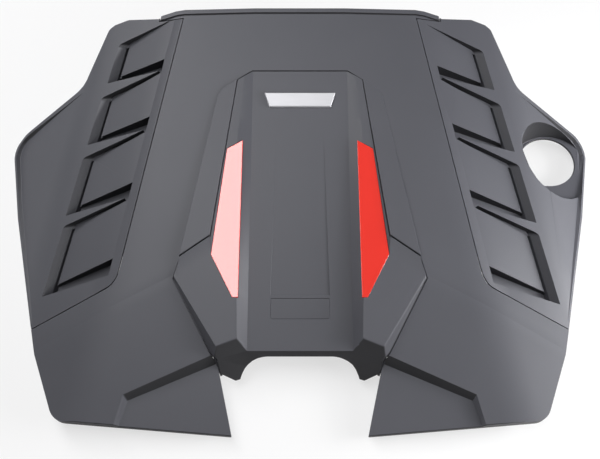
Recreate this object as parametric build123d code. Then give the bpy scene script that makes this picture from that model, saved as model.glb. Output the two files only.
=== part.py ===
import os
from math import hypot, radians, sqrt, tan

from build123d import *

# Whole cover, in mm and degrees
overall_width = 740.0
overall_length = 500.0
rim_height = 15.0
roof_slope = 11.0
side_slope = 12.0
flank_slope = 36.0
wing_drop = 5.0
wing_outer_drop = 4.0
wall = 2.8
flange_depth = 20.0
seam_gap = 1.0
fit_gap = 0.1

# Plan corners and the lip along the rear edge
rail_width = 88.0
seam_radius = 28.0
rear_corner_radius = 6.0
waist_radius = 30.0
bulge_radius = 31.0
wing_corner_radius = 20.0
lip_height = 2.5
lip_width = 6.0
rim_lip_height = 6.0
rim_lip_width = 2.6
rim_lip_lean = 5.0
rim_lip_facets = 5

# Console
strip_rise_rear = 1.5
strip_rise_front = 5.5
facet_rise_front = 3.0
channel_drop = 12.0
recess_depth = 1.6
insert_depth = 2.2
plate_depth = 1.2
skirt_depth = 30.5
skirt_slope = 1.38
skirt_cut_start = 75.0
skirt_cut_slope = 0.85
arch_half_width = 70.0
arch_drop = 6.5
arch_radius = 34.0

# Steps in the front wings
step_depth = 12.0
step_depth_outer = 9.0
step_depth_front = 7.0
wing_flange_depth = 8.0

# Louvre cells of the side panels
cell_count = 4
cell_pitch = 0.141 * overall_length
cell_growth = 1.105
left_row_start = 1.0
right_row_start = 10.0
cell_inner = 11.5
cell_rim = 75.0
cell_bow = 2.5
cell_spread = 0.03
blade_share = 0.80
blade_depth = 8.0
blade_rear_sweep = 0.66
blade_front_sweep = 0.45
blade_corner_radius = 5.0
slope_width = 7.2
groove_width = 2.6
groove_depth = 13.0
rear_groove_width = 4.5
rear_groove_depth = 9.0
slot_depth = 17.0
slot_width_inner = 15.0
slot_width_outer = 10.0
slot_end_lean = 8.0

# Filler pocket in the right side panel
filler_radius = 35.0
filler_pocket_radius = 50.0
filler_shelf_rise = 7.0

# Bare badge bar
badge_thickness = 3.0
badge_chamfer = 0.8

# Heat-staked tabs and their seats
ledge_width = 5.5
ledge_root = 6.0
ledge_relief_radius = 34.0
lip_reach = 8.0
stake_length = 5.0
stake_thickness = 2.4
stake_head = 1.5
stake_flare = 1.0

# Underside
rib_thickness = 2.0
rib_depth = 12.0
foam_thickness = 14.0
grommet_hole_radius = 10.0
grommet_flange_radius = 14.0
grommet_head_radius = 12.0
grommet_bore_radius = 4.5
grommet_flange = 3.0
grommet_facets = 8
bracket_wall = 3.0
bracket_width = 36.0
bracket_length = 32.0
bracket_drop = 34.0

reach = 3.0 * overall_width


def at(x, y):
    """Plan point from shares of the half width and the half length."""
    return (x * overall_width / 2, y * overall_length / 2)


rear_middle = at(0.15, 1)
rear_bend = at(0.4154, 0.99)
lip_end = at(0.4668, 0.9748)
lip_notch = at(0.4708, 0.9532)
seam_rear = at(0.3878, 0.9532)
seam_corner = at(0.5676, -0.3548)
seam_front = at(0.8330, -0.5396)
shoulder_rear = at(0.4770, 0.9672)
corner_rear = at(0.5811, 0.9852)
corner_side = at(0.6508, 0.9580)
waist = at(0.7351, 0.6776)
bulge = at(1.0132, 0.5108)
bulge_edge = at(0.9957, 0.3912)
flank_bend = at(0.9476, 0.0620)
flank_front = at(0.8330, -0.5384)
wing_bend = at(0.8157, -0.6520)
wing_corner = at(0.7432, -0.9440)
wing_tip = at(0.2076, -1)
wing_root = at(0.2551, -0.6860)
fold_inner = at(0.3951, -0.3180)
fold_middle = at(0.5822, -0.4616)
fold_outer = at(0.8184, -0.6364)
step_inner = at(0.2743, -0.6668)
step_outer = at(0.5316, -0.8348)
step_front = at(0.5557, -0.9580)
step_foot = at(0.2600, -0.6900)
console_rear = at(0.1562, 0.6760)
console_diagonal = at(0.2557, 0.5804)
console_shoulder = at(0.2681, 0.5476)
console_widest = at(0.3870, -0.3284)
strip_rear = at(0.2057, 0.6288)
strip_front_inner = at(0.2811, -0.1400)
strip_front_outer = at(0.3741, -0.2352)
opening_widest = at(0.3932, -0.3320)
opening_foot = at(0.2743, -0.6580)
ramp_inner = at(0.2770, -0.2192)
ramp_outer = at(0.3789, -0.3324)
facet_foot = at(0.2530, -0.6404)
facet_front = at(0.1884, -0.6032)
channel_rear = at(0.1543, 0.6760)
channel_front = at(0.1624, -0.6408)
channel_rear_top = at(0.1805, 0.6760)
insert_corners = [
    at(0.1832, 0.3216),
    at(0.2343, 0.2792),
    at(0.2768, -0.2260),
    at(0.2081, -0.4216),
    at(0.1895, -0.4216),
]
recess_rear = at(0.0757, 0.38)
recess_front = at(0.0919, -0.394)
plate_rear = at(0.0911, -0.408)
plate_front = at(0.0911, -0.5)
badge_rear = at(0.1157, 0.56)
badge_front = at(0.1, 0.49)
filler_pocket = at(0.8676, 0.3480)
filler_hole = at(0.8619, 0.3968)
bracket_spots = [at(0.3189, 0.78), at(0.4865, -0.56)]
wing_rib_spots = [(at(0.62, -0.53), at(0.62, -0.94)), (at(0.70, -0.57), at(0.70, -0.93))]
flank_rib_shares = [0.74, 0.85, 0.96]
side_foam_corners = [at(0.29, 0.52), at(0.405, 0.52), at(0.505, -0.16), at(0.395, -0.16)]
rear_foam_corners = [at(0.23, 0.73), at(0.23, 0.94), at(-0.23, 0.94), at(-0.23, 0.73)]


def mirror_points(points):
    return [(-x, y) for x, y in reversed(points)]


def mix(start, end, share):
    return tuple(a + (b - a) * share for a, b in zip(start, end))


def along(start, end):
    length = hypot(end[0] - start[0], end[1] - start[1])
    return ((end[0] - start[0]) / length, (end[1] - start[1]) / length)


def right_of(start, end):
    dx, dy = along(start, end)
    return (dy, -dx)


def moved(point, direction, distance):
    return (point[0] + direction[0] * distance, point[1] + direction[1] * distance)


# A surface is the plane z = a + b x + c y
def height(surface, point):
    a, b, c = surface
    return a + b * point[0] + c * point[1]


def spot(surface, point, up=0.0):
    return (point[0], point[1], height(surface, point) + up)


def lowered(surface, depth):
    a, b, c = surface
    return (a - depth * sqrt(1 + b * b + c * c), b, c)


def hinged(surface, start, end, fall):
    """The surface folded along a line, falling to the right of it."""
    a, b, c = surface
    nx, ny = right_of(start, end)
    return (a + fall * (start[0] * nx + start[1] * ny), b - fall * nx, c - fall * ny)


def through(p, q, r):
    normal = (Vector(q) - Vector(p)).cross(Vector(r) - Vector(p))
    b = -normal.X / normal.Z
    c = -normal.Y / normal.Z
    return (p[2] - b * p[0] - c * p[1], b, c)


def half_space(point, normal):
    block = Box(reach, reach, reach, align=(Align.CENTER, Align.CENTER, Align.MAX))
    return Plane(origin=point, z_dir=normal).location * block


def under(surface):
    a, b, c = surface
    return half_space((0, 0, a), (-b, -c, 1))


def over(surface):
    a, b, c = surface
    return half_space((0, 0, a), (b, c, -1))


def convex(planes, inside, grow=0.0):
    """The block round a point inside that three-point planes cut off."""
    block = None
    for p, q, r in planes:
        normal = (Vector(q) - Vector(p)).cross(Vector(r) - Vector(p)).normalized()
        if normal.dot(Vector(inside) - Vector(p)) > 0:
            normal = normal * -1
        piece = half_space(Vector(p) + normal * grow, normal)
        block = piece if block is None else block & piece
    return block


def outline(points, rounds=()):
    face = make_face(Polyline(*points, close=True))
    for corner, radius in rounds:
        nearest = face.vertices().sort_by_distance(Vector(*corner, 0))[0]
        face = fillet(nearest, radius)
    return face


def both_sides(points, rounds=()):
    mirrored = [((-x, y), radius) for (x, y), radius in rounds]
    return outline(points + mirror_points(points), list(rounds) + mirrored)


def grown(face, distance):
    return offset(face, distance, kind=Kind.INTERSECTION) if distance else face


def rounded_out(face, distance):
    return offset(face, distance, kind=Kind.ARC)


def prism(face):
    return extrude(face, amount=reach, dir=(0, 0, 1))


def below(surfaces, depth):
    """All that lies deeper than this under every surface."""
    block = under(lowered(surfaces[0], depth))
    for surface in surfaces[1:]:
        block = block & under(lowered(surface, depth))
    return block


def capped(face, surfaces, depth=0.0):
    return prism(face) & below(surfaces, depth)


def layer(face, surfaces, top, bottom):
    """The part of a face's prism between two depths under the surfaces."""
    return capped(face, surfaces, top) - below(surfaces, bottom)


def whole(half):
    return half + mirror(half, about=Plane.YZ)


# Surfaces of the right half
def shape(level):
    crease_rear = moved(seam_rear, right_of(seam_corner, seam_rear), rail_width)
    crease_front = moved(seam_corner, right_of(seam_corner, seam_rear), rail_width)
    side_fall = tan(radians(side_slope))
    flank_fall = tan(radians(flank_slope)) - side_fall
    roof = (level, 0.0, tan(radians(roof_slope)))
    side = hinged(roof, seam_corner, seam_rear, side_fall)
    flank = hinged(side, crease_front, crease_rear, flank_fall)
    wing = hinged(roof, fold_inner, fold_middle, tan(radians(wing_drop)))
    wing_outer = hinged(side, fold_middle, fold_outer, tan(radians(wing_outer_drop)))
    return [roof, side, flank, wing, wing_outer]


roof_level = rim_height - height(shape(0.0)[2], bulge_edge)
surfaces = shape(roof_level)
roof, side, flank, wing, wing_outer = surfaces
strip_top = through(
    spot(roof, strip_rear, strip_rise_rear),
    spot(roof, strip_front_inner, strip_rise_front),
    spot(roof, strip_front_outer, strip_rise_front),
)
facet = through(
    spot(roof, console_rear, strip_rise_rear),
    spot(roof, strip_rear, strip_rise_rear),
    spot(roof, ramp_inner, facet_rise_front),
)
ramp = through(
    spot(strip_top, strip_front_inner),
    spot(strip_top, strip_front_outer),
    spot(facet, ramp_inner),
)
floor_fall = channel_drop / (channel_rear[1] - channel_front[1])
channel_floor = (roof[0] - floor_fall * channel_rear[1], 0.0, roof[2] + floor_fall)
step_wall = through(
    spot(facet, console_widest),
    spot(facet, facet_foot),
    spot(wing, moved(opening_foot, right_of(opening_widest, opening_foot), seam_gap)),
)
skirt_top = spot(channel_floor, channel_front)
skirt_front = (skirt_top[2] - skirt_slope * skirt_top[1], 0.0, skirt_slope)
skirt_side = through(spot(facet, facet_front), spot(facet, facet_foot), skirt_top)
step_floor = through(
    spot(wing, step_foot, -step_depth),
    spot(wing, step_outer, -step_depth_outer),
    spot(wing, step_front, -step_depth_front),
)

# Plan faces
right_side = Pos(reach / 2, 0) * Rectangle(reach, 2 * reach)
silhouette = both_sides(
    [
        rear_middle,
        rear_bend,
        lip_end,
        shoulder_rear,
        corner_rear,
        corner_side,
        waist,
        bulge,
        flank_bend,
        flank_front,
        wing_bend,
        wing_corner,
        wing_tip,
        wing_root,
    ],
    [
        (corner_rear, rear_corner_radius),
        (corner_side, rear_corner_radius),
        (waist, waist_radius),
        (bulge, bulge_radius),
        (wing_corner, wing_corner_radius),
    ],
)
seam_line_front = moved(seam_corner, along(seam_corner, seam_front), reach)
seam_line_rear = moved(seam_rear, along(seam_corner, seam_rear), seam_rear[0])
seam_zone = both_sides(
    [seam_line_rear, seam_corner, seam_line_front, (seam_line_front[0], -reach)],
    [(seam_corner, seam_radius)],
)
main_zone = seam_zone + both_sides([(lip_end[0], reach), lip_end, lip_notch, seam_rear])
opening = both_sides(
    [
        console_rear,
        strip_rear,
        strip_front_inner,
        strip_front_outer,
        opening_widest,
        opening_foot,
        wing_root,
        moved(wing_tip, along(wing_root, wing_tip), wall),
    ]
)
strip = outline(
    [strip_rear, console_diagonal, console_shoulder, strip_front_outer, strip_front_inner]
)
inner_face = grown(silhouette, -wall)

# Whole skin of the right half, before it is parted along the seams
skin_outer = capped(silhouette & right_side, surfaces)
skin_inner = capped(inner_face & right_side, surfaces, wall)
under_flange = below(surfaces, flange_depth)


def wing_recess(grow):
    top_inner = spot(wing, step_inner)
    top_outer = spot(wing, step_outer)
    front = spot(wing, step_front)
    lean = step_depth_front / 2
    planes = [
        (spot(step_floor, step_foot), spot(step_floor, step_outer), spot(step_floor, step_front)),
        (top_inner, top_outer, spot(step_floor, step_foot)),
        (top_outer, front, (front[0] - lean, front[1], front[2] - step_depth_front)),
    ]
    return convex(planes, spot(wing, mix(step_foot, step_front, 0.6)), grow)


def tab_face(start, end, share, inset, grow=0.0):
    """Plan rectangle along a line, to the right of it by the inset."""
    spine = mix(start, end, share)
    middle = moved(spine, right_of(start, end), inset)
    dx, dy = along(start, end)
    frame = Plane(origin=(*middle, 0), x_dir=(dx, dy, 0), z_dir=(0, 0, 1))
    return frame.location * Rectangle(stake_length + 2 * grow, stake_thickness + 2 * grow)


def stake(tabs, top, seat):
    """Heat-staked tabs from under a top surface through a seat one wall thick."""
    pieces = []
    for tab in tabs:
        pin = capped(tab_face(*tab), [top], wall / 2) & over(lowered(seat, 2 * wall + stake_head))
        flare = tab_face(*tab, stake_flare)
        head = layer(flare, [seat], 2 * wall, 2 * wall + stake_head)
        pieces.append(pin + head)
    return pieces


def stake_slots(tabs):
    return [prism(tab_face(*tab, fit_gap)) for tab in tabs]


seam_inset = ledge_width / 2 + seam_gap / 2
seam_tabs = [(seam_corner, seam_rear, share, seam_inset) for share in (0.18, 0.40, 0.62, 0.85)]
front_tabs = [(seam_front, seam_corner, share, seam_inset) for share in (0.3, 0.6)]
lip_inset = lip_reach / 2 + seam_gap
strip_tabs = [(strip_front_inner, strip_rear, share, lip_inset) for share in (0.25, 0.75)]
facet_tabs = [(opening_foot, opening_widest, 0.7, lip_inset)]
rear_tabs = [(console_rear, (0, console_rear[1]), 0.5, lip_inset)]

# Main cover
main_face = (silhouette & main_zone & right_side) - opening
strip_outer = prism(strip) & under(strip_top)
strip_inner = prism(grown(strip, -wall)) & under(lowered(strip_top, wall))
main = skin_outer + strip_outer - wing_recess(0)
main = main - (skin_inner + strip_inner - wing_recess(wall)) - under_flange
wing_base = through(
    spot(wing, wing_tip, -step_depth_front - wing_flange_depth),
    spot(wing_outer, wing_corner, -wing_flange_depth),
    spot(side, flank_front, -flange_depth),
)
main = main & prism(main_face) & over(wing_base)
lip_face = (main_face - grown(silhouette, -lip_width)) & Pos(0, reach) * Rectangle(
    2 * lip_end[0], 2 * (reach - seam_rear[1])
)
main = main + layer(lip_face, [roof, side], -lip_height, wall / 2)
ledge_limit = grown(silhouette, -(wall + seam_gap))
ledge_face = rounded_out(seam_zone, ledge_width) & ledge_limit & right_side
ledge_face = ledge_face - grown(seam_zone, -ledge_root) - Pos(*seam_corner) * Circle(ledge_relief_radius)
ledge = layer(ledge_face, [roof, side, wing, wing_outer], wall, 2 * wall)
for slot in stake_slots(seam_tabs + front_tabs):
    ledge = ledge - slot
main = main + ledge
centre_stakes = stake(strip_tabs, strip_top, roof) + stake(rear_tabs, roof, roof)
for piece in centre_stakes + stake(facet_tabs, wing, wing):
    main = main + piece
for spot_middle in bracket_spots:
    frame = Pos(*spot_middle, height(wing if spot_middle[1] < 0 else roof, spot_middle) - bracket_drop)
    shell = Box(bracket_width, bracket_length, reach, align=(Align.CENTER, Align.CENTER, Align.MIN))
    room_width = bracket_width - 2 * bracket_wall
    room = Box(room_width, 2 * bracket_length, reach, align=(Align.CENTER, Align.CENTER, Align.MIN))
    bracket = shell - Pos(0, 0, bracket_wall) * room - Cylinder(grommet_hole_radius, 3 * bracket_wall)
    bracket = frame * bracket
    for surface in (roof, wing):
        bracket = bracket & under(lowered(surface, wall / 2))
    main = main + bracket
for start, end in wing_rib_spots:
    dx, dy = along(start, end)
    length = hypot(end[0] - start[0], end[1] - start[1])
    frame = Plane(origin=(*mix(start, end, 0.5), 0), x_dir=(dx, dy, 0), z_dir=(0, 0, 1))
    rib_face = frame.location * Rectangle(length, rib_thickness)
    main = main + layer(rib_face, [roof, side, wing, wing_outer], wall / 2, rib_depth)
main_cover = whole(main)

# Centre panel
panel_face = grown(opening, -seam_gap)
panel_inner = grown(opening, -seam_gap - wall)
middle_zone = Rectangle(2 * channel_front[0], 2 * reach)
outer_zone = right_side - middle_zone
inner_zone = right_side & middle_zone


def channel_section(y, grow):
    share = (channel_rear[1] - y) / (channel_rear[1] - channel_front[1])
    foot = mix(channel_rear, channel_front, share)
    brow = mix(channel_rear_top, (facet_front[0], channel_front[1]), share)
    bottom = height(channel_floor, foot)
    depth = height(facet, brow) - bottom
    clear = (depth + facet_rise_front) / depth
    top = bottom + depth * clear
    wide = foot[0] + (brow[0] - foot[0]) * clear
    frame = Plane(origin=(0, y, 0), x_dir=(1, 0, 0), z_dir=(0, -1, 0))
    points = [(-foot[0], bottom), (foot[0], bottom), (wide, top), (-wide, top)]
    return frame.location * grown(outline(points), grow)


def channel(grow):
    rear = channel_section(channel_rear[1] + seam_gap, grow)
    front = channel_section(channel_front[1] - 4 * wall, grow)
    return loft([rear, front], ruled=True)


def pocket(face, surface, depth, grow=0.0):
    return prism(grown(face, grow)) & over(lowered(surface, depth + grow))


recess_floor = through(
    spot(channel_floor, recess_rear),
    spot(channel_floor, (-recess_rear[0], recess_rear[1])),
    spot(channel_floor, recess_front, -recess_depth),
)
recess_face = both_sides([recess_rear, recess_front])
insert_face = outline(insert_corners)
plate_face = both_sides([plate_rear, plate_front])


def console(face, depth):
    outer_block = capped(face & outer_zone, [facet, step_wall, skirt_side], depth)
    inner_block = capped(face & inner_zone, [facet, step_wall, skirt_front], depth)
    return outer_block + inner_block


ramp_face = outline([strip_front_inner, strip_front_outer, ramp_outer, ramp_inner])
centre = console(panel_face, 0) + capped(ramp_face & panel_face, [ramp])
hollow = console(panel_inner, wall)
for zone, skirt in ((outer_zone, skirt_side), (inner_zone, skirt_front)):
    hollow = hollow + (capped(opening & zone, [roof, wing], 2 * wall) & under(lowered(skirt, wall)))
hollow = hollow - channel(wall) - pocket(insert_face, facet, insert_depth, wall)
hollow = hollow - pocket(recess_face, recess_floor, 0, wall)
centre = centre - channel(0) - pocket(insert_face, facet, insert_depth)
centre = centre - pocket(recess_face, recess_floor, 0) - pocket(plate_face, channel_floor, plate_depth)
centre = centre - hollow
skirt_base = skirt_top[2] - skirt_depth
skirt_cut = (skirt_base - skirt_cut_slope * skirt_cut_start, skirt_cut_slope, 0.0)
skirt_zone = Pos(0, facet_foot[1]) * Rectangle(2 * reach, reach, align=(Align.CENTER, Align.MAX))
centre = centre & over((skirt_base, 0.0, 0.0))
centre = centre - (prism(skirt_zone) & under(skirt_cut))
arch_top = skirt_top[2] - arch_drop
arch_frame = Plane(origin=(0, 0, arch_top), x_dir=(1, 0, 0), z_dir=(0, -1, 0))
arch_block = Rectangle(2 * arch_half_width, reach, align=(Align.CENTER, Align.MAX))
arch_face = fillet(arch_block.vertices().group_by(Axis.Y)[-1], arch_radius)
centre = centre - arch_frame.location * extrude(arch_face, amount=reach)
lip_zone = Pos(0, reach + opening_foot[1] * 0.9) * Rectangle(2 * reach, 2 * reach)
under_lip = (rounded_out(opening, lip_reach + seam_gap) & lip_zone & right_side) - panel_inner
under_lip = layer(under_lip, [roof, wing], wall, 2 * wall)
for slot in stake_slots(strip_tabs + facet_tabs + rear_tabs):
    under_lip = under_lip - slot
centre_panel = whole(centre + under_lip)

# Side panels
side_normal = Vector(-side[1], -side[2], 1).normalized()
side_out = Vector(*right_of(seam_corner, seam_rear), 0)
side_out = (side_out - side_normal * side_out.dot(side_normal)).normalized()
side_frame = Plane(origin=spot(side, seam_rear), x_dir=side_out, z_dir=side_normal)


def rounded_corner(block, corner, grow):
    edge = block.edges().sort_by(lambda candidate: candidate.distance_to(Vector(*corner)))[0]
    return fillet(edge, blade_corner_radius + grow)


def cell(start, length, rim, behind_rib, grow):
    """One louvre: a ramped blade, the slot under its front edge and the groove along its outer edge."""
    scale = length / cell_pitch
    front = start + blade_share * length
    front_outer = front + blade_front_sweep * scale * (rim - cell_inner)
    rear_outer = blade_rear_sweep * (rim - cell_inner)
    slope_foot = rim - slope_width
    edge = slope_foot - groove_width

    def line(inner, outer):
        return ((cell_inner, -inner, 0), (rim, -outer, 0))

    def upright(start_point, end_point):
        return (start_point, end_point, (*end_point[:2], -slot_depth))

    def lengthwise(u):
        return ((u, 0, 0), (u + cell_spread, -1, 0))

    def level(depth):
        return ((0, 0, -depth), (1, 0, -depth), (0, 1, -depth))

    rear_line = line(start, start + rear_outer)
    rib_line = line(front + slot_width_inner * scale, front_outer + slot_width_outer * scale)
    rear_wall = upright(*rear_line)
    front_wall = upright(*line(front, front_outer))
    rib_wall = upright(*rib_line)
    edge_wall = upright(*lengthwise(edge))
    foot_wall = upright(*lengthwise(slope_foot))
    groove_end = upright(*line(start + blade_corner_radius, start + blade_corner_radius + rear_outer))
    slot_end = ((cell_inner, 0, 0), (cell_inner, -1, 0), (cell_inner + slot_end_lean, 0, -slot_depth))
    ramp_plane = ((cell_inner, 0, 0), (cell_inner, -1, 0), (edge, 0, -blade_depth))
    outer_slope = (*lengthwise(rim), (slope_foot, 0, -blade_depth))
    blade_middle = mix(rear_line[0], rib_line[1], 0.5)
    slot_middle = ((cell_inner + edge) / 2, -(front + front_outer + slot_width_outer) / 2, 0)
    groove_middle = ((edge + slope_foot) / 2 + cell_spread * front, -front, 0)
    rear_groove_line = line(start + rear_groove_width, start + rear_groove_width + rear_outer)
    rear_groove_middle = mix(rear_line[0], rear_groove_line[1], 0.5)
    blade = convex([ramp_plane, outer_slope, rear_wall, rib_wall], blade_middle, grow)
    slot = convex([level(slot_depth), slot_end, foot_wall, front_wall, rib_wall], slot_middle, grow)
    groove = convex([level(groove_depth), edge_wall, foot_wall, groove_end, rib_wall], groove_middle, grow)
    pieces = [rounded_corner(blade, rear_line[1], grow), slot, groove]
    if behind_rib:
        walls = [level(rear_groove_depth), slot_end, edge_wall, rear_wall, upright(*rear_groove_line)]
        pieces.append(convex(walls, rear_groove_middle, grow))
    return pieces


def louvres(row_start, grow):
    pieces = []
    start = row_start
    for index in range(cell_count):
        length = cell_pitch * cell_growth**index
        rim = cell_rim + cell_bow * (1 - abs(2 * index / (cell_count - 1) - 1))
        pieces += [side_frame.location * piece for piece in cell(start, length, rim, index > 0, grow)]
        start += length
    return pieces


def rim_lip(face):
    """Raised lip round the bulge that fades out along the flank and at the waist."""
    across = moved(waist, right_of(waist, bulge), rail_width)
    brow_front = through(
        spot(flank, bulge_edge, rim_lip_height),
        spot(flank, (0, bulge_edge[1]), rim_lip_height),
        spot(flank, flank_front),
    )
    brow_rear = through(spot(flank, waist), spot(flank, across), spot(flank, bulge, rim_lip_height))
    block = capped(face, [side, brow_front, brow_rear])
    arc = silhouette.edges().filter_by(GeomType.CIRCLE).sort_by_distance(Vector(*bulge, 0))[0]
    turn = [tuple(arc @ (index / rim_lip_facets))[:2] for index in range(rim_lip_facets + 1)]
    turn.sort(key=lambda point: -point[1])
    path = [waist, *turn, flank_bend, flank_front]
    planes = [tuple(spot(flank, point) for point in (waist, bulge, flank_front))]
    for start, end in zip(path, path[1:]):
        inward = right_of(start, end)
        tops = [spot(brow_front, moved(point, inward, rim_lip_width)) for point in (start, end)]
        foot = spot(flank, moved(start, inward, rim_lip_width + rim_lip_lean))
        planes.append((*tops, foot))
    middle = mix(waist, flank_front, 0.5)
    return block - convex(planes, spot(flank, middle, rim_lip_height))


def side_panel(row_start, filler=False):
    face = (silhouette & right_side) - rounded_out(main_zone, seam_gap)
    outer = (skin_outer & prism(face)) + rim_lip(face)
    inner = skin_inner
    trimmed = under_flange
    recesses = list(zip(louvres(row_start, 0), louvres(row_start, wall)))
    if filler:
        place = Pos(*filler_pocket, rim_height + filler_shelf_rise)
        base = (Align.CENTER, Align.CENTER, Align.MIN)
        tool = place * Cylinder(filler_pocket_radius, reach, align=base)
        tool = tool & prism(grown(silhouette, -rim_lip_width))
        sleeve = place * Pos(0, 0, -wall) * Cylinder(filler_pocket_radius + wall, reach, align=base)
        recesses.append((tool, sleeve))
        trimmed = trimmed - sleeve
    for recess, sleeve in recesses:
        outer = outer - recess
        inner = inner - sleeve
    panel = outer - inner - trimmed
    if filler:
        panel = panel - Pos(*filler_hole, 0) * Cylinder(filler_radius, reach)
    across = right_of(seam_corner, seam_rear)
    for share in flank_rib_shares:
        inner_end = moved(mix(seam_rear, seam_corner, share), across, rail_width)
        rib_face = Plane(origin=(*inner_end, 0), x_dir=(*across, 0), z_dir=(0, 0, 1)).location * Rectangle(
            reach, rib_thickness, align=(Align.MIN, Align.CENTER)
        )
        panel = panel + layer(rib_face & inner_face, [side, flank], wall / 2, rib_depth)
    for piece in stake(seam_tabs + front_tabs, side, side):
        panel = panel + piece
    return panel


left_side_panel = mirror(side_panel(left_row_start), about=Plane.YZ)
right_side_panel = side_panel(right_row_start, filler=True)

# Trim
right_trim_insert = layer(grown(insert_face, -fit_gap), [facet], 0, insert_depth)
badge_plate = layer(grown(plate_face, -fit_gap), [channel_floor], 0, plate_depth)
badge_face = both_sides([badge_rear, badge_front])
badge_bar = layer(badge_face, [channel_floor], -badge_thickness, 0)
badge_top = badge_bar.faces().filter_by(lambda f: f.normal_at().Z > 0.9).sort_by(Axis.Z)[-1]
badge_bar = chamfer(badge_top.edges(), badge_chamfer)


def grommet(middle):
    base = height(wing if middle[1] < 0 else roof, middle) - bracket_drop
    flange = extrude(RegularPolygon(grommet_flange_radius, grommet_facets), grommet_flange)
    head = extrude(RegularPolygon(grommet_head_radius, grommet_facets), grommet_flange)
    core = extrude(Circle(grommet_hole_radius - fit_gap), bracket_wall)
    body = Pos(0, 0, -grommet_flange) * flange + core + Pos(0, 0, bracket_wall) * head
    return Pos(*middle, base) * (body - Cylinder(grommet_bore_radius, reach))


side_foam = layer(outline(side_foam_corners), [roof], wall, wall + foam_thickness)
rear_foam = layer(outline(rear_foam_corners), [roof], wall, wall + foam_thickness)
rear_grommet = grommet(bracket_spots[0])
front_grommet = grommet(bracket_spots[1])

nodes = {
    "main_cover": main_cover,
    "centre_panel": centre_panel,
    "left_side_panel": left_side_panel,
    "right_side_panel": right_side_panel,
    "left_trim_insert": mirror(right_trim_insert, about=Plane.YZ),
    "right_trim_insert": right_trim_insert,
    "badge_bar": badge_bar,
    "badge_plate": badge_plate,
    "rear_left_grommet": mirror(rear_grommet, about=Plane.YZ),
    "rear_right_grommet": rear_grommet,
    "front_left_grommet": mirror(front_grommet, about=Plane.YZ),
    "front_right_grommet": front_grommet,
    "left_foam_pad": mirror(side_foam, about=Plane.YZ),
    "right_foam_pad": side_foam,
    "rear_foam_pad": rear_foam,
}
os.makedirs("parts", exist_ok=True)
for name, node in nodes.items():
    export_step(node, f"parts/{name}.step")
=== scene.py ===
import math

import bpy
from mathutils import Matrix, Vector
from mathutils.bvhtree import BVHTree
from mathutils.geometry import intersect_line_line_2d, intersect_point_line


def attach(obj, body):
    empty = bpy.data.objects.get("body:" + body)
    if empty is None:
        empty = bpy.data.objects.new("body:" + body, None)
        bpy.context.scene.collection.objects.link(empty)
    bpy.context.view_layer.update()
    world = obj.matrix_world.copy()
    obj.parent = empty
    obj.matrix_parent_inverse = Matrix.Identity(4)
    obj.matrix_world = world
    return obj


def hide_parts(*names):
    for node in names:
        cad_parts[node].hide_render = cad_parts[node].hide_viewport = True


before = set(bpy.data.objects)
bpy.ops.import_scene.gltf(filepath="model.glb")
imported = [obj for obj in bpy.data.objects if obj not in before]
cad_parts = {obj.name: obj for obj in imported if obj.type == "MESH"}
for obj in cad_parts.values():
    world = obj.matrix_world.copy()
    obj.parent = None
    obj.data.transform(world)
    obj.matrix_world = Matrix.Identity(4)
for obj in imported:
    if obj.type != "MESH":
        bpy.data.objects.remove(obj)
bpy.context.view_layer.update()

MM = 0.001
CLEARANCE = 0.2 * MM
SAME_PLANE = 0.9999

# Rounded edges of the moulded pieces
MERGE = 0.35 * MM
FLAT_ANGLE = math.radians(0.3)
SHARP_ANGLE = math.radians(17)
SMOOTH_ANGLE = math.radians(34)
EVEN_WEIGHT = 90
SHELL_ROUND = 1.3 * MM
INSERT_ROUND = 0.5 * MM
BADGE_ROUND = 0.5 * MM
GROMMET_ROUND = 0.7 * MM
FOAM_ROUND = 3.0 * MM
RETURN_ROUND = 0.2 * MM
ROUND_STEPS = 3
FREE_ROOM = 1.0
EDGE_SAMPLES = (0.0, 0.25, 0.5, 0.75, 1.0)
ROOM_SHARE = 0.35
LEAST_SHARE = 0.12

# Roundings that would cross each other are eased
ROUND_TRIES = 9
LAST_HALVING = 5
KNOT_AREA = 2e-7
KNOT_SHARE = 0.01
KNOT_REACH = 2.5

# Faces that see the open air
WAYS_OUT = [
    Vector((x, y, z)).normalized()
    for z in (0.25, 0.8, 2.5)
    for x in (-1, 0, 1)
    for y in (-1, 0, 1)
]
LEAST_LIFT = 0.02
TOWARDS_CORNER = 0.8
MOST_STARTS = 6

# Soft folds of the top skin
FOLD_LEAST = math.radians(2)
FOLD_MOST = math.radians(30)
FOLD_LENGTH = 25 * MM
FOLD_UPRIGHT = 0.5
FOLD_REACH = 6 * MM
FOLD_SPREAD = 1.35 * MM
FOLD_NEAR = 1.6 * MM
FOLD_PAST = 15 * MM
EVEN_SHARE = 0.5
CREST_SHARE = 0.75

# Walls inside the seam at the console's front corners: rear and front ends in mm
FLANGE_WIDE = 7.0 * MM
FLANGE_THICK = 2.0 * MM
RETURN_THICK = 2.6 * MM
RETURN_DEEP = 10.0 * MM
CORNER_WALLS = [
    ("corner_flange", (109.2, -147.2, 49.4), (97.7, -165.2, 44.3), FLANGE_WIDE, FLANGE_THICK),
    ("corner_return", (97.2, -166.0, 43.8), (90.2, -181.5, 29.0), RETURN_THICK, RETURN_DEEP),
]


def deselect_all():
    bpy.ops.object.select_all(action="DESELECT")


def make_active(piece):
    deselect_all()
    piece.select_set(True)
    bpy.context.view_layer.objects.active = piece


def start_picking(piece, kind):
    """Leaves nothing selected in a piece, so that its faces or points can be picked in code."""
    make_active(piece)
    bpy.ops.object.mode_set(mode="EDIT")
    bpy.ops.mesh.select_mode(type=kind)
    bpy.ops.mesh.select_all(action="DESELECT")
    bpy.ops.object.mode_set(mode="OBJECT")


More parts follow.
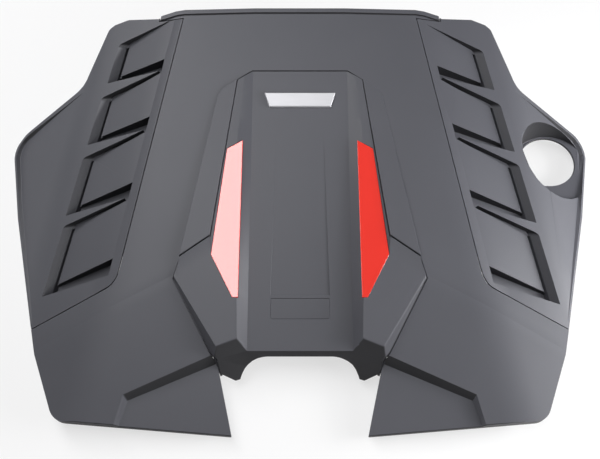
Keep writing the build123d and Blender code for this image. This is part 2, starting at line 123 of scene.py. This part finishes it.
def gap(point, start, end):
    """Distance from a point to the nearest place on an edge."""
    share = intersect_point_line(point, start, end)[1]
    return (start.lerp(end, min(1.0, max(0.0, share))) - point).length


def off_line(point, start, end):
    """Distance from a point to the line through an edge, past its ends too."""
    return (intersect_point_line(point, start, end)[0] - point).length


def faces_by_edge(mesh):
    found = {tuple(sorted(edge.vertices)): [] for edge in mesh.edges}
    for face in mesh.polygons:
        for key in face.edge_keys:
            found[key].append(face)
    return found


def edge_room(mesh):
    """How far each edge may be rounded before the rounding meets another edge of its faces."""
    points = [vertex.co for vertex in mesh.vertices]
    room = {tuple(sorted(edge.vertices)): FREE_ROOM for edge in mesh.edges}
    for face in mesh.polygons:
        ring = list(face.vertices)
        sides = list(zip(ring, ring[1:] + ring[:1]))
        for a, b in sides:
            key = tuple(sorted((a, b)))
            start, end = points[a], points[b]
            samples = [start.lerp(end, share) for share in EDGE_SAMPLES]
            near = [room[key]]
            for c, d in sides:
                if (c, d) == (a, b):
                    continue
                if {a, b} & {c, d}:
                    near.append((points[d] - points[c]).length)
                    continue
                near += [gap(sample, points[c], points[d]) for sample in samples]
                for far in (points[c], points[d]):
                    close, share = intersect_point_line(far, start, end)
                    if 0.0 < share < 1.0:
                        near.append((far - close).length)
            room[key] = min(near)
    return room


def open_faces(mesh):
    """Faces that see the open air above the cover or beside it."""
    points = [vertex.co for vertex in mesh.vertices]
    tree = BVHTree.FromPolygons(points, [face.vertices[:] for face in mesh.polygons])
    found = set()
    for face in mesh.polygons:
        ways = [way for way in WAYS_OUT if way.dot(face.normal) > LEAST_LIFT]
        corners = [points[i] for i in face.vertices]
        spread = corners[:: 1 + len(corners) // MOST_STARTS]
        starts = [face.center.lerp(corner, TOWARDS_CORNER) for corner in spread]
        if any(
            tree.ray_cast(start + face.normal * CLEARANCE, way)[0] is None
            for start in [face.center, *starts]
            for way in ways
        ):
            found.add(face.index)
    return found


def flat_points(mesh, face):
    """The face's outline in the plane that shows it widest."""
    drop = max(range(3), key=lambda axis: abs(face.normal[axis]))
    kept = [axis for axis in range(3) if axis != drop]
    return [Vector([mesh.vertices[i].co[axis] for axis in kept]) for i in face.vertices]


def knots(mesh):
    """Places where a face's outline crosses itself."""
    mesh.calc_loop_triangles()
    covered = {}
    for triangle in mesh.loop_triangles:
        index = triangle.polygon_index
        covered[index] = covered.get(index, 0.0) + triangle.area
    found = []
    for face in mesh.polygons:
        if covered[face.index] - face.area < KNOT_AREA + KNOT_SHARE * face.area:
            continue
        flat = flat_points(mesh, face)
        corners = [mesh.vertices[i].co.copy() for i in face.vertices]
        count = len(flat)
        sides = [(flat[i], flat[(i + 1) % count]) for i in range(count)]
        crossings = [
            corners[i]
            for i in range(count)
            for j in range(i + 2, count)
            if (j + 1) % count != i and intersect_line_line_2d(*sides[i], *sides[j])
        ]
        found += crossings or corners
    return found


def soft_folds(mesh):
    """Long shallow ridges in the top skin.

    Each comes with its two ends and the normals of its flatter and its steeper side.
    """
    outside = open_faces(mesh)
    folds = []
    for key, pair in faces_by_edge(mesh).items():
        start, end = (mesh.vertices[i].co.copy() for i in key)
        if len(pair) != 2 or (end - start).length < FOLD_LENGTH:
            continue
        if (pair[1].center - start).dot(pair[0].normal) > 0:
            continue
        flat, steep = sorted((face.normal.copy() for face in pair), key=lambda normal: -normal.z)
        shallow = FOLD_LEAST < flat.angle(steep) < FOLD_MOST
        if not shallow or steep.z < FOLD_UPRIGHT or flat.y > 0:
            continue
        if {face.index for face in pair} <= outside:
            folds.append((start, end, flat, steep))
    return folds


def fold_width(flat, steep):
    return FOLD_REACH + FOLD_SPREAD * math.degrees(flat.angle(steep))


def cut_beside(piece, start, end, normal, width):
    """Cuts the flat face on one side of a fold along a line beside the fold."""
    middle = (start + end) / 2
    across = (end - start).cross(normal).normalized()
    start_picking(piece, "FACE")
    lean = 0.0
    for face in piece.data.polygons:
        offset = face.center - middle
        face.select = abs(offset.dot(normal)) < CLEARANCE and face.normal.dot(normal) > SAME_PLANE
        if face.select:
            lean += offset.dot(across) * face.area
    if lean < 0:
        across = -across
    bpy.ops.object.mode_set(mode="EDIT")
    bpy.ops.mesh.bisect(plane_co=middle + across * width, plane_no=across)
    bpy.ops.object.mode_set(mode="OBJECT")


def cut_folds(piece):
    """Cuts a strip beside each soft fold, and returns the folds as they are then."""
    for start, end, flat, steep in soft_folds(piece.data):
        sides = [steep] if flat.angle(steep) > SHARP_ANGLE else [flat, steep]
        for normal in sides:
            cut_beside(piece, start, end, normal, fold_width(flat, steep))
    return soft_folds(piece.data)


def on_fold(point, start, end):
    along = (point - start).dot((end - start).normalized())
    between = -FOLD_PAST < along < (end - start).length + FOLD_PAST
    return between and off_line(point, start, end) < FOLD_NEAR


def shade_folds(mesh, folds):
    """Turns the shading beside each fold, so that it runs softly from one side to the other."""
    points = [vertex.co for vertex in mesh.vertices]
    normals = [corner.vector.copy() for corner in mesh.corner_normals]
    turned = {}
    for start, end, flat, steep in folds:
        share = CREST_SHARE if flat.angle(steep) > SHARP_ANGLE else EVEN_SHARE
        middle = (flat * share + steep * (1 - share)).normalized()
        width = fold_width(flat, steep)
        for face in mesh.polygons:
            if max(face.normal.dot(flat), face.normal.dot(steep)) < SAME_PLANE:
                continue
            if not any(on_fold(points[i], start, end) for i in face.vertices):
                continue
            for corner, i in zip(face.loop_indices, face.vertices):
                near = max(0.0, 1.0 - off_line(points[i], start, end) / width)
                turned.setdefault(corner, face.normal.copy())
                turned[corner] += (middle - face.normal) * near
    for corner, normal in turned.items():
        normals[corner] = normal.normalized()
    mesh.normals_split_custom_set(normals)


def merged(piece):
    """Joins loose triangles into a shell of flat faces."""
    make_active(piece)
    bpy.ops.object.mode_set(mode="EDIT")
    bpy.ops.mesh.select_all(action="SELECT")
    bpy.ops.mesh.remove_doubles(threshold=MERGE)
    bpy.ops.mesh.dissolve_limited(angle_limit=FLAT_ANGLE)
    bpy.ops.object.mode_set(mode="OBJECT")


def rounding_shares(mesh, radius, folds):
    """Gives each sharp outer edge the share of the radius that its faces have room for."""
    room = edge_room(mesh)
    outside = open_faces(mesh)
    faces_at = faces_by_edge(mesh)
    fold_ends = {tuple(sorted((fold[0].to_tuple(6), fold[1].to_tuple(6)))) for fold in folds}
    weights = mesh.attributes.new("bevel_weight_edge", "FLOAT", "EDGE").data
    for edge in mesh.edges:
        key = tuple(sorted(edge.vertices))
        pair = faces_at[key]
        if len(pair) != 2 or pair[0].normal.angle(pair[1].normal) < SHARP_ANGLE:
            continue
        ends = tuple(sorted(mesh.vertices[i].co.to_tuple(6) for i in key))
        if ends in fold_ends or not {face.index for face in pair} <= outside:
            continue
        share = min(1.0, ROOM_SHARE * room[key] / radius)
        weights[edge.index].value = share if share > LEAST_SHARE else 0.0
    return weights


def untangle(piece, weights, reach):
    """Eases the rounding near places where a rounded face would cross itself."""
    mesh = piece.data
    for attempt in range(ROUND_TRIES):
        shown = piece.evaluated_get(bpy.context.evaluated_depsgraph_get())
        crossed = knots(shown.to_mesh())
        shown.to_mesh_clear()
        if not crossed:
            break
        for edge in mesh.edges:
            weight = weights[edge.index]
            start, end = (mesh.vertices[i].co for i in edge.vertices)
            if weight.value and any(gap(point, start, end) < reach for point in crossed):
                halved = attempt < LAST_HALVING and weight.value > 2 * LEAST_SHARE
                weight.value = weight.value / 2 if halved else 0.0
        mesh.update()
        piece.update_tag()


def even_shading(piece):
    """Smooth over roundings, sharp at the edges that stay, and flat on the large faces."""
    mesh = piece.data
    bpy.ops.object.shade_smooth()
    faces_at = faces_by_edge(mesh)
    for edge in mesh.edges:
        pair = faces_at[tuple(sorted(edge.vertices))]
        joined = len(pair) == 2
        edge.use_edge_sharp = (
            not joined or pair[0].normal.angle(pair[1].normal, 0.0) > SMOOTH_ANGLE
        )
    even = piece.modifiers.new("even shading", "WEIGHTED_NORMAL")
    even.keep_sharp = True
    even.weight = EVEN_WEIGHT
    bpy.ops.object.modifier_apply(modifier=even.name)


def rounded(piece, radius, soft=False):
    """Rounds the sharp outer edges of a closed shell, and softens its folds if asked."""
    merged(piece)
    folds = cut_folds(piece) if soft else []
    weights = rounding_shares(piece.data, radius, folds)
    bevel = piece.modifiers.new("rounding", "BEVEL")
    bevel.limit_method = "WEIGHT"
    bevel.width = radius
    bevel.segments = ROUND_STEPS
    bevel.use_clamp_overlap = False
    untangle(piece, weights, KNOT_REACH * radius)
    bpy.ops.object.modifier_apply(modifier=bevel.name)
    even_shading(piece)
    if folds:
        shade_folds(piece.data, folds)


def taken_from(node, name):
    """A new piece in the place of a CAD node."""
    piece = bpy.data.objects.new(name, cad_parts[node].data.copy())
    bpy.context.scene.collection.objects.link(piece)
    piece.data.materials.clear()
    return piece


def fitted(piece, node, material):
    piece.data.materials.append(material)
    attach(piece, "root")
    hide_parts(node)


class Signal:
    """A shader value. Sums and products of signals add Math nodes."""

    def __init__(self, finish, socket):
        self.finish = finish
        self.socket = socket

    def math(self, operation, *values):
        return self.finish.add("ShaderNodeMath", {"operation": operation}, dict(enumerate(values)))

    def __add__(self, other):
        return self.math("ADD", self, other)

    def __sub__(self, other):
        return self.math("SUBTRACT", self, other)

    def __rsub__(self, other):
        return self.math("SUBTRACT", other, self)

    def __mul__(self, other):
        return self.math("MULTIPLY", self, other)

    __radd__ = __add__
    __rmul__ = __mul__

    def or_more(self, other):
        return self.math("MAXIMUM", self, other)

    def sign(self):
        return self.math("SIGN", self)


class Finish:
    """The nodes of a material or of the world, and the one method that adds them."""

    def __init__(self, holder):
        self.holder = holder
        holder.use_nodes = True
        self.tree = holder.node_tree
        self.tree.nodes.clear()

    def add(self, kind, settings=None, inputs=None, output=0):
        node = self.tree.nodes.new(kind)
        for key, value in (settings or {}).items():
            setattr(node, key, value)
        for key, value in (inputs or {}).items():
            if isinstance(value, Signal):
                self.tree.links.new(value.socket, node.inputs[key])
            else:
                node.inputs[key].default_value = value
        return Signal(self, node.outputs[output]) if node.outputs else None

    def place(self):
        return self.add("ShaderNodeTexCoord", output="Object")

    def noise(self, scale, detail=2.0, roughness=0.5):
        inputs = {"Vector": self.place(), "Scale": scale, "Detail": detail, "Roughness": roughness}
        return self.add("ShaderNodeTexNoise", inputs=inputs)

    def cells(self, scale):
        return self.add("ShaderNodeTexVoronoi", inputs={"Vector": self.place(), "Scale": scale})

    def part(self, vector, axis):
        return self.add("ShaderNodeSeparateXYZ", inputs={0: vector}, output=axis)

    def rise(self, value, start, end):
        """Goes from 0 to 1 as a value goes from start to end."""
        inputs = {"Value": value, "From Min": start, "From Max": end}
        return self.add("ShaderNodeMapRange", inputs=inputs)

    def blend(self, share, first, second):
        inputs = {"Factor": share, 6: first, 7: second}
        return self.add("ShaderNodeMix", {"data_type": "RGBA"}, inputs, output=2)

    def bump(self, height, strength, distance):
        inputs = {"Height": height, "Strength": strength, "Distance": distance}
        return self.add("ShaderNodeBump", inputs=inputs)

    def glow(self, kind, strength):
        return self.add(kind, inputs={"Color": WHITE, "Strength": strength})

    def mixed(self, share, first, second):
        return self.add("ShaderNodeMixShader", inputs={0: share, 1: first, 2: second})

    def surface(self, shader, output="ShaderNodeOutputMaterial"):
        self.add(output, inputs={"Surface": shader})
        return self.holder

    def solid(self, **inputs):
        named = {key.replace("_", " "): value for key, value in inputs.items()}
        return self.surface(self.add("ShaderNodeBsdfPrincipled", inputs=named))


WHITE = (1.0, 1.0, 1.0, 1.0)


def grained_plastic(name, inward_shade_share):
    """Dark grey moulding, with painted shade: darker on walls that face the front or inwards."""
    finish = Finish(bpy.data.materials.new(name))
    grain = finish.cells(scale=1500.0)
    speck = finish.noise(scale=2600.0)
    cloud = finish.noise(scale=11.0, detail=3.0)
    top_grey = finish.blend(
        cloud * 0.6 + speck * 0.4,
        (0.070, 0.071, 0.083, 1.0),
        (0.090, 0.091, 0.105, 1.0),
    )
    # Painted shade: walls that face the front, and walls that face inwards by the given share,
    # take this darker grey where shade falls on them.
    painted_shade_grey = (0.026, 0.026, 0.029, 1.0)
    facing = finish.add("ShaderNodeNewGeometry", output="Normal")
    front = finish.rise(finish.part(facing, "Y"), start=-0.45, end=-0.70)
    outward = finish.part(facing, "X") * finish.part(finish.place(), "X").sign()
    inward = finish.rise(outward, start=0.02, end=-0.30)
    return finish.solid(
        # The painted shade is blended over the plastic's own grey here.
        Base_Color=finish.blend(front.or_more(inward * inward_shade_share), top_grey, painted_shade_grey),
        Roughness=0.42 + cloud * 0.10,
        Specular_IOR_Level=0.3,
        Normal=finish.bump(grain * 0.7 + speck * 0.3, strength=0.16, distance=0.15 * MM),
    )


def red_trim():
    finish = Finish(bpy.data.materials.new("gloss_red"))
    cloud = finish.noise(scale=25.0)
    flake = finish.noise(scale=1800.0)
    colour = finish.blend(
        cloud * 0.7 + flake * 0.3,
        (0.75, 0.014, 0.003, 1.0),
        (0.81, 0.020, 0.006, 1.0),
    )
    return finish.solid(
        Base_Color=colour,
        Roughness=0.45 + cloud * 0.08,
        Specular_IOR_Level=0.1,
        Coat_Weight=1.0,
        Coat_Roughness=0.06,
        Coat_IOR=1.85,
    )


def satin_metal():
    finish = Finish(bpy.data.materials.new("satin_metal"))
    stretch = finish.add(
        "ShaderNodeMapping",
        inputs={"Vector": finish.place(), "Scale": (40.0, 2400.0, 900.0)},
    )
    brushing = finish.add(
        "ShaderNodeTexNoise",
        inputs={"Vector": stretch, "Scale": 1.0, "Detail": 2.0},
    )
    return finish.solid(
        Base_Color=finish.blend(brushing, (0.42, 0.42, 0.44, 1.0), (0.56, 0.56, 0.58, 1.0)),
        Metallic=1.0,
        Roughness=0.52 + brushing * 0.12,
        Normal=finish.bump(brushing, strength=0.08, distance=0.05 * MM),
    )


def dark_plate():
    finish = Finish(bpy.data.materials.new("dark_plate"))
    speck = finish.noise(scale=1400.0)
    cloud = finish.noise(scale=30.0)
    return finish.solid(
        Base_Color=finish.blend(cloud, (0.068, 0.069, 0.081, 1.0), (0.080, 0.081, 0.094, 1.0)),
        Roughness=0.38 + cloud * 0.08,
        Specular_IOR_Level=0.3,
        Normal=finish.bump(speck, strength=0.06, distance=0.08 * MM),
    )


def black_rubber():
    finish = Finish(bpy.data.materials.new("black_rubber"))
    speck = finish.noise(scale=900.0, detail=4.0)
    cloud = finish.noise(scale=60.0)
    return finish.solid(
        Base_Color=finish.blend(cloud, (0.016, 0.016, 0.017, 1.0), (0.032, 0.031, 0.031, 1.0)),
        Roughness=0.62 + cloud * 0.16,
        Normal=finish.bump(speck, strength=0.25, distance=0.15 * MM),
    )


def foam_fleece():
    finish = Finish(bpy.data.materials.new("foam_fleece"))
    pores = finish.cells(scale=650.0)
    fibre = finish.noise(scale=420.0, detail=6.0, roughness=0.7)
    cloud = finish.noise(scale=35.0, detail=3.0)
    colour = finish.blend(
        fibre * 0.7 + cloud * 0.3,
        (0.012, 0.012, 0.013, 1.0),
        (0.060, 0.060, 0.064, 1.0),
    )
    return finish.solid(
        Base_Color=colour,
        Roughness=0.86 + fibre * 0.12,
        Normal=finish.bump(pores * 0.6 + fibre * 0.8, strength=0.7, distance=0.8 * MM),
    )


plastic = grained_plastic("grained_plastic", inward_shade_share=0.0)
# A copy of the same plastic that paints shade at half strength on the louvre panels' inward-facing
# slopes.
louvre_plastic_painted_shade = grained_plastic("louvre_plastic_painted_shade", inward_shade_share=0.5)
red = red_trim()
metal = satin_metal()
plate = dark_plate()
rubber = black_rubber()
fleece = foam_fleece()

# CAD node, piece, slot, finish, rounding, soft folds
PIECES = [
    ("main_cover", "main_shell", "shell", plastic, SHELL_ROUND, True),
    ("centre_panel", "console_shell", "shell", plastic, SHELL_ROUND, False),
    ("left_side_panel", "left_louvre_shell", "shell", louvre_plastic_painted_shade, SHELL_ROUND, True),
    ("right_side_panel", "right_louvre_shell", "shell", louvre_plastic_painted_shade, SHELL_ROUND, True),
    ("left_trim_insert", "left_red_insert", "trim", red, INSERT_ROUND, False),
    ("right_trim_insert", "right_red_insert", "trim", red, INSERT_ROUND, False),
    ("badge_bar", "bare_badge", "badge", metal, BADGE_ROUND, False),
    ("badge_plate", "bare_plate", "plate", plate, INSERT_ROUND, False),
    ("rear_left_grommet", "rear_left_bush", "rubber", rubber, GROMMET_ROUND, False),
    ("rear_right_grommet", "rear_right_bush", "rubber", rubber, GROMMET_ROUND, False),
    ("front_left_grommet", "front_left_bush", "rubber", rubber, GROMMET_ROUND, False),
    ("front_right_grommet", "front_right_bush", "rubber", rubber, GROMMET_ROUND, False),
    ("left_foam_pad", "left_foam", "foam", fleece, FOAM_ROUND, False),
    ("right_foam_pad", "right_foam", "foam", fleece, FOAM_ROUND, False),
    ("rear_foam_pad", "rear_foam", "foam", fleece, FOAM_ROUND, False),
]
for node, name, slot, material, radius, soft in PIECES:
    piece = taken_from(node, name)
    rounded(piece, radius, soft)
    fitted(piece, node, material)
    slot == "foam"


def seam_wall(name, rear, front, thick, deep):
    """A wall that goes down from the console's front corner, inside the seam."""
    run = Vector((front.x - rear.x, front.y - rear.y, 0.0))
    deselect_all()
    bpy.ops.mesh.primitive_cube_add(
        size=1.0,
        location=rear + run / 2 - Vector((0.0, 0.0, deep / 2)),
        rotation=(0.0, 0.0, math.atan2(run.y, run.x)),
        scale=(run.length, thick, deep),
    )
    piece = bpy.context.object
    piece.name = name
    bpy.ops.object.transform_apply(location=True, rotation=True, scale=True)
    start_picking(piece, "VERT")
    for vertex in piece.data.vertices:
        vertex.select = vertex.co.y < (rear.y + front.y) / 2
    bpy.ops.object.mode_set(mode="EDIT")
    bpy.ops.transform.translate(value=(0.0, 0.0, front.z - rear.z))
    bpy.ops.object.mode_set(mode="OBJECT")
    rounded(piece, RETURN_ROUND)
    piece.data.materials.append(plastic)
    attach(piece, "root")


for side, word in [(-1, "left"), (1, "right")]:
    for name, rear, front, thick, deep in CORNER_WALLS:
        rear, front = (Vector((side * x, y, z)) * MM for x, y, z in (rear, front))
        seam_wall(word + "_" + name, rear, front, thick, deep)


# Floor, light and camera
FLOOR_SIZE = 8.0
FLOOR_DROP = 0.6 * MM
FLOOR_WHITE = 0.68
ROOM_LIGHT = 0.02
OVERHEAD_DIMMING = 0.75
# Name, place, aim, width, height, watts
LAMPS = [
    ("overhead", (-0.40, 0.12, 1.70), (-0.40, 0.12, 0.0), 0.72, 0.95, 14.0),
    ("rear_left", (-0.65, 0.55, 1.00), (-0.20, 0.10, 0.10), 0.5, 0.5, 6.2),
    ("key", (1.58, -0.25, 0.52), (0.0, 0.0, 0.05), 0.8, 0.8, 10.0),
    ("front_right", (0.72, -0.32, 0.50), (0.28, -0.12, 0.04), 0.35, 0.35, 2.0),
    ("low_right", (0.80, -0.12, 0.26), (0.33, -0.04, 0.03), 0.30, 0.30, 5.2),
    ("left_fill", (-1.60, 0.0, 0.55), (0.0, 0.0, 0.05), 0.8, 0.8, 1.5),
]
IMAGE_WIDTH = 600
FOCAL_PIXELS = 830.0
SENSOR_WIDTH = 36.0
NEAR_CLIP = 0.01
EYE = Vector((0.0, -0.4325, 0.9565))
TARGET = Vector((0.0, -0.0264, 0.0855))


def pale_floor():
    """Pale and matt, and partly plain white where the camera sees it."""
    finish = Finish(bpy.data.materials.new("pale_floor"))
    seen = finish.add("ShaderNodeLightPath", output="Is Camera Ray")
    cloud = finish.noise(scale=3.0)
    tone = finish.blend(cloud, (0.86, 0.86, 0.87, 1.0), (0.89, 0.89, 0.90, 1.0))
    matt = finish.add("ShaderNodeBsdfDiffuse", inputs={"Color": tone})
    white = finish.glow("ShaderNodeEmission", 1.0)
    return finish.surface(finish.mixed(seen * FLOOR_WHITE, matt, white))


def studio_room():
    """White round about where it is seen or mirrored, and dim overhead."""
    room = Finish(bpy.data.worlds.new("studio"))
    seen = room.add("ShaderNodeLightPath", output="Is Camera Ray")
    mirrored = room.add("ShaderNodeLightPath", output="Is Glossy Ray")
    height = room.part(room.add("ShaderNodeTexCoord"), "Z")
    overhead = room.rise(height, start=0.1, end=0.6)
    dim = room.glow("ShaderNodeBackground", ROOM_LIGHT)
    white = room.glow("ShaderNodeBackground", 1.0)
    share = seen.or_more(mirrored) * (1.0 - overhead * OVERHEAD_DIMMING)
    return room.surface(room.mixed(share, dim, white), "ShaderNodeOutputWorld")


def look_at(item, place, aim):
    bpy.context.scene.collection.objects.link(item)
    item.location = place
    item.rotation_euler = (Vector(aim) - Vector(place)).to_track_quat("-Z", "Y").to_euler()


def softbox(name, place, aim, width, height, watts):
    light = bpy.data.lights.new(name, "AREA")
    light.shape = "RECTANGLE"
    light.size = width
    light.size_y = height
    light.energy = watts
    lamp = bpy.data.objects.new(name, light)
    lamp.visible_camera = False
    look_at(lamp, place, aim)


deselect_all()
bpy.ops.mesh.primitive_plane_add(size=FLOOR_SIZE, location=(0.0, 0.0, -FLOOR_DROP))
floor = bpy.context.object
floor.name = "floor"
bpy.ops.object.transform_apply(location=True, rotation=True, scale=True)
floor.data.materials.append(pale_floor())

bpy.context.scene.world = studio_room()
for lamp in LAMPS:
    softbox(*lamp)

lens = bpy.data.cameras.new("camera")
lens.sensor_width = SENSOR_WIDTH
lens.lens = SENSOR_WIDTH * FOCAL_PIXELS / IMAGE_WIDTH
lens.clip_start = NEAR_CLIP
camera = bpy.data.objects.new("camera", lens)
look_at(camera, EYE, TARGET)
bpy.context.scene.camera = camera
bpy.context.scene.view_settings.view_transform = "Standard"
